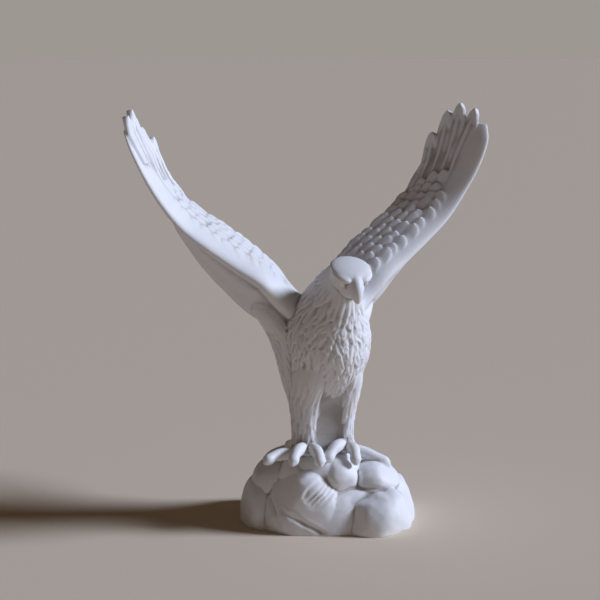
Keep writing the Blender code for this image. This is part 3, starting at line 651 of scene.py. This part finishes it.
def cut_rock(piece):
    """Chisel strokes, a dished patch and a broken grain on the mound."""
    points, normals = read_skin(piece.data)
    cos, sin = math.cos(ROCK_TURN), math.sin(ROCK_TURN)
    across = points[:, 0] * cos + points[:, 1] * sin
    deep = -points[:, 0] * sin + points[:, 1] * cos - ROCK_BACK_SHARE * ROCK_DEPTH
    seen = np.stack([across, points[:, 2]], 1) * 1000
    front = np.clip(-deep / (0.2 * ROCK_DEPTH), 0, 1) * np.clip((ROCK_HEIGHT - points[:, 2]) / 0.01, 0, 1)
    cut = np.zeros(len(points))
    for path, half, depth in STROKES:
        gap, place = stroke_distance(seen, path)
        fade = np.sqrt(np.clip(np.sin(math.pi * np.clip(place, 0.04, 0.96)), 0, 1))
        groove = np.exp(-(gap / half) ** 2) - 0.35 * np.exp(-((gap - 2 * half) / half) ** 2)
        cut += depth * fade * groove
    middle, half, tilt, depth = PATCH
    local = seen - middle
    u = (local[:, 0] * math.cos(tilt) + local[:, 1] * math.sin(tilt)) / half[0]
    v = (-local[:, 0] * math.sin(tilt) + local[:, 1] * math.cos(tilt)) / half[1]
    cut += depth * np.clip(1.4 * (1 - (np.abs(u) ** 3 + np.abs(v) ** 3)), 0, 1)
    stone = np.clip((0.96 * ROCK_HEIGHT - points[:, 2]) / 0.006, 0, 1) * np.clip(points[:, 2] / 0.002, 0, 1)
    rough = sum(high * uneven(points, size, seed) for high, size, seed in GRAIN_OF_ROCK)
    moved = points + normals * (stone * (rough - front * cut) / 1000)[:, None]
    piece.data.vertices.foreach_set("co", moved.astype(np.float32).ravel())
    piece.data.update()


STONE_TOP = 0.86         # height share of the mound below which its joints are rubbed soft
ARMPIT = (19, 7, 42)     # where the wing's underside meets the flank, rubbed soft as well
ARMPIT_REACH = 8


def rub(piece, name, picked, rounds):
    """Smooths the picked points, as a thumb would."""
    group = piece.vertex_groups.new(name=name)
    group.add(np.flatnonzero(picked).tolist(), 1.0, "REPLACE")
    smoothing = piece.modifiers.new(name, "SMOOTH")
    smoothing.vertex_group = name
    smoothing.factor = 0.5
    smoothing.iterations = rounds
    settle(piece)


points, _ = read_skin(casting.data)
rub(casting, "stone", points[:, 2] < STONE_TOP * ROCK_HEIGHT, 10)
one_side = (points - (0, 0, ROCK_HEIGHT)) / UNIT
one_side[:, 0] = np.abs(one_side[:, 0])
rub(casting, "armpits", np.linalg.norm(one_side - ARMPIT, axis=1) < ARMPIT_REACH, 60)
cut_rock(casting)
soften = casting.modifiers.new("soften", "SMOOTH")
soften.factor = 0.5
soften.iterations = 4
thin = casting.modifiers.new("thin", "DECIMATE")
thin.ratio = min(1, KEPT_FACES / (2 * len(casting.data.polygons)))
settle(casting)

BENCH = 0.6
bpy.ops.mesh.primitive_cube_add(size=BENCH, location=(0, 0, -BENCH / 2))
bench = bpy.context.object
flat = casting.modifiers.new("flat_underside", "BOOLEAN")
flat.operation = "DIFFERENCE"
flat.solver = "EXACT"
flat.object = bench
settle(casting)
bpy.data.objects.remove(bench, do_unlink=True)


def keep_largest(mesh):
    """Deletes the small pockets that the skin closed off inside."""
    bm = bmesh.new()
    bm.from_mesh(mesh)
    seen = set()
    groups = []
    for start in bm.verts:
        if start in seen:
            continue
        seen.add(start)
        group = [start]
        for vert in group:
            for edge in vert.link_edges:
                other = edge.other_vert(vert)
                if other not in seen:
                    seen.add(other)
                    group.append(other)
        groups.append(group)
    groups.sort(key=len)
    bmesh.ops.delete(bm, geom=[vert for group in groups[:-1] for vert in group], context="VERTS")
    bm.to_mesh(mesh)
    bm.free()


keep_largest(casting.data)


FULL_HOLLOW = 0.0008     # metres deep


def mark_hollows(mesh, rounds=14):
    """Stores how far each point lies in a hollow, from -1 on a crest to 1 in a groove."""
    points, normals = read_skin(mesh)
    edges = np.empty(len(mesh.edges) * 2, np.int32)
    mesh.edges.foreach_get("vertices", edges)
    a, b = edges.reshape(-1, 2).T
    count = np.bincount(np.concatenate([a, b]), minlength=len(points))[:, None]
    level = points.copy()
    for _ in range(rounds):
        total = np.stack([np.bincount(a, level[b, k], len(points))
                          + np.bincount(b, level[a, k], len(points)) for k in range(3)], 1)
        level = total / count
    depth = np.sum((level - points) * normals, axis=1)
    hollow = mesh.attributes.new("hollow", "FLOAT", "POINT")
    hollow.data.foreach_set("value", np.clip(depth / FULL_HOLLOW, -1, 1).astype(np.float32))


mark_hollows(casting.data)
casting.data.shade_smooth()
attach(casting, "root")
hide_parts("eagle_on_rock")


# Cast marble: marble powder bound with a little resin and poured
# It is matt and slightly cool white, a touch greyer and browner in the hollows, partly for dust and partly
# as painted shade where shadow falls in the grooves

def tone(code):
    """Linear colour of an sRGB hex value."""
    parts = [int(code[i:i + 2], 16) / 255 for i in (1, 3, 5)]
    return tuple(p / 12.92 if p <= 0.04045 else ((p + 0.055) / 1.055) ** 2.4 for p in parts) + (1,)


def node(tree, kind, links=(), **settings):
    """Adds a shader node with its settings; links are (input's name or number, socket or value)."""
    made = tree.nodes.new(kind)
    for name, value in settings.items():
        setattr(made, name, value)
    for name, source in links:
        if isinstance(source, bpy.types.NodeSocket):
            tree.links.new(source, made.inputs[name])
        else:
            made.inputs[name].default_value = source
    return made


MOTTLE = 0.02            # metres across the soft clouds of colour in the pour
GRAIN = 0.0011           # powder grain, drawn about four times as coarse as it is

marble = bpy.data.materials.new("cast_marble")
marble.use_nodes = True
tree = marble.node_tree
surface = tree.nodes["Principled BSDF"]
place = node(tree, "ShaderNodeTexCoord").outputs["Object"]
clouds = node(tree, "ShaderNodeTexNoise", [("Vector", place), ("Scale", 1 / MOTTLE), ("Detail", 4.0),
                                           ("Roughness", 0.55)])
powder = node(tree, "ShaderNodeTexNoise", [("Vector", place), ("Scale", 1 / GRAIN), ("Detail", 2.0),
                                           ("Roughness", 0.6)])
MIX_A, MIX_B, MIX_RESULT = 6, 7, 2   # the colour sockets of a mix node
body = node(tree, "ShaderNodeMix", [("Factor", clouds.outputs["Fac"]), (MIX_A, tone("#DCDEE6")),
                                    (MIX_B, tone("#EDEBEA"))], data_type="RGBA")
# painted shade: the hollows are blended toward a grey brown, partly for dust lying there and partly for the
# shade that falls in grooves and recesses
hollow = node(tree, "ShaderNodeAttribute", attribute_name="hollow").outputs["Fac"]
dust_and_shade = node(tree, "ShaderNodeMapRange", [("Value", hollow), ("From Min", 0.05), ("From Max", 0.9),
                                         ("To Max", 0.75)])
tinted = node(tree, "ShaderNodeMix", [("Factor", dust_and_shade.outputs["Result"]), (MIX_A, body.outputs[MIX_RESULT]),
                                      (MIX_B, tone("#8F857B"))], data_type="RGBA")
tree.links.new(tinted.outputs[MIX_RESULT], surface.inputs["Base Color"])
polish = node(tree, "ShaderNodeMapRange", [("Value", powder.outputs["Fac"]), ("To Min", 0.48),
                                           ("To Max", 0.66)])
tree.links.new(polish.outputs["Result"], surface.inputs["Roughness"])
relief = node(tree, "ShaderNodeBump", [("Height", powder.outputs["Fac"]), ("Strength", 0.25),
                                       ("Distance", 0.0002)])
tree.links.new(relief.outputs["Normal"], surface.inputs["Normal"])
casting.data.materials.clear()
casting.data.materials.append(marble)


# Floor and light: a pale table top that runs on to the horizon, one broad window light from the
# eagle's left and front, and a dim warm room above a pale wall

REACH = 60               # metres to the floor's edge
floor_mesh = bpy.data.meshes.new("floor")
floor_mesh.from_pydata([(-REACH, -REACH, 0), (REACH, -REACH, 0), (REACH, REACH, 0), (-REACH, REACH, 0)], [],
                       [(0, 1, 2, 3)])
floor = bpy.data.objects.new("floor", floor_mesh)
bpy.context.collection.objects.link(floor)
paint = bpy.data.materials.new("pale_floor")
paint.use_nodes = True
paint.node_tree.nodes["Principled BSDF"].inputs["Base Color"].default_value = tone("#DCCCB8")
paint.node_tree.nodes["Principled BSDF"].inputs["Roughness"].default_value = 0.95
floor_mesh.materials.append(paint)


def aim(thing, azimuth, elevation, distance, target):
    """Puts a light or camera at that bearing and distance from the target, facing it."""
    a, e = math.radians(azimuth), math.radians(elevation)
    back = Vector((math.sin(a) * math.cos(e), -math.cos(a) * math.cos(e), math.sin(e)))
    thing.location = Vector(target) + back * distance
    thing.rotation_euler = back.to_track_quat("Z", "Y").to_euler()


MIDDLE = (0, 0, 0.18)
window = bpy.data.lights.new("window", "SUN")
window.energy = 3.8
window.angle = math.radians(16)
window.color = (0.72, 0.81, 1.0)
window_place = bpy.data.objects.new("window", window)
bpy.context.collection.objects.link(window_place)
aim(window_place, 67, 29, 1.5, MIDDLE)

# sines of the height angles between which the pale wall fades into the dim room
WALL_FADES = 0.06
WALL_TOP = 0.20
room = bpy.data.worlds.new("room")
room.use_nodes = True
tree = room.node_tree
background = tree.nodes["Background"]
around = node(tree, "ShaderNodeTexCoord").outputs["Generated"]
sky = node(tree, "ShaderNodeSeparateXYZ", [("Vector", around)])
height = node(tree, "ShaderNodeMapRange", [("Value", sky.outputs["Z"]), ("From Min", WALL_FADES),
                                           ("From Max", WALL_TOP)])
glow = node(tree, "ShaderNodeMix", [("Factor", height.outputs["Result"]), (MIX_A, tone("#9E9893")),
                                    (MIX_B, tone("#46382B"))], data_type="RGBA")
tree.links.new(glow.outputs[MIX_RESULT], background.inputs["Color"])
background.inputs["Strength"].default_value = 1.0
bpy.context.scene.world = room
bpy.context.scene.view_settings.view_transform = "Standard"


# The camera stands at the photograph's angle, before the eagle and a little to its right

SENSOR = 36
FOCAL_PX = 1470.6        # focal length in pixels of the 600 pixel picture
PICTURE = 600
AIM_PX = (327, 336)      # where the aimed point lies in the picture
camera = bpy.data.cameras.new("camera")
camera.sensor_width = SENSOR
camera.lens = SENSOR * FOCAL_PX / PICTURE
camera.shift_x = -(AIM_PX[0] - PICTURE / 2) / PICTURE
camera.shift_y = (AIM_PX[1] - PICTURE / 2) / PICTURE
camera_place = bpy.data.objects.new("camera", camera)
bpy.context.collection.objects.link(camera_place)
aim(camera_place, -20, 11, 1.25, (0, 0, 0.165))
bpy.context.scene.camera = camera_place
